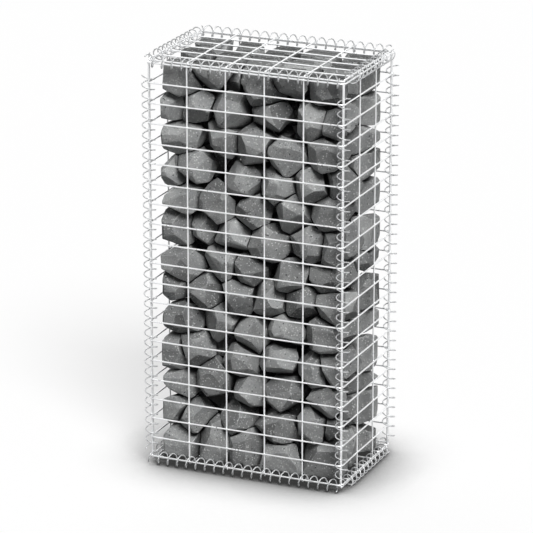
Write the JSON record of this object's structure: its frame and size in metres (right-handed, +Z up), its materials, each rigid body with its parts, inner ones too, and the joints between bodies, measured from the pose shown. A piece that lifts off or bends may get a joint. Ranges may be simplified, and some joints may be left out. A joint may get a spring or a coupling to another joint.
{
  "type": "gabion wall",
  "caption": "Free-standing gabion wall unit: a tall basket of welded wire mesh, laced along every edge with a wire spiral and filled with dark broken stone.",
  "frame": {"origin": "on the ground under the middle of the basket", "axes": "+Z up, +X along the wall to the right as seen from the front, +Y through the wall from front to back"},
  "size_m": [0.5362, 0.3406, 1.0407],
  "materials": {
    "mesh_wire": "galvanised, dull zinc",
    "spiral_wire": "galvanised, bright zinc",
    "stone": "rough broken basalt"
  },
  "bodies": {
    "root": {"front_panel": "mesh_wire", "back_panel": "mesh_wire", "left_panel": "mesh_wire", "right_panel": "mesh_wire", "lid_panel": "mesh_wire", "base_panel": "mesh_wire", "spiral_lid_front": "spiral_wire", "spiral_lid_back": "spiral_wire", "spiral_base_front": "spiral_wire", "spiral_base_back": "spiral_wire", "spiral_lid_left": "spiral_wire", "spiral_lid_right": "spiral_wire", "spiral_base_left": "spiral_wire", "spiral_base_right": "spiral_wire", "spiral_front_left": "spiral_wire", "spiral_front_right": "spiral_wire", "spiral_back_left": "spiral_wire", "spiral_back_right": "spiral_wire", "stone_course_01": "stone", "stone_course_02": "stone", "stone_course_03": "stone", "stone_course_04": "stone", "stone_course_05": "stone", "stone_course_06": "stone", "stone_course_07": "stone", "stone_course_08": "stone", "stone_course_09": "stone", "stone_course_10": "stone", "stone_course_11": "stone", "stone_course_12": "stone", "stone_course_13": "stone"}
  },
  "joints": []
}
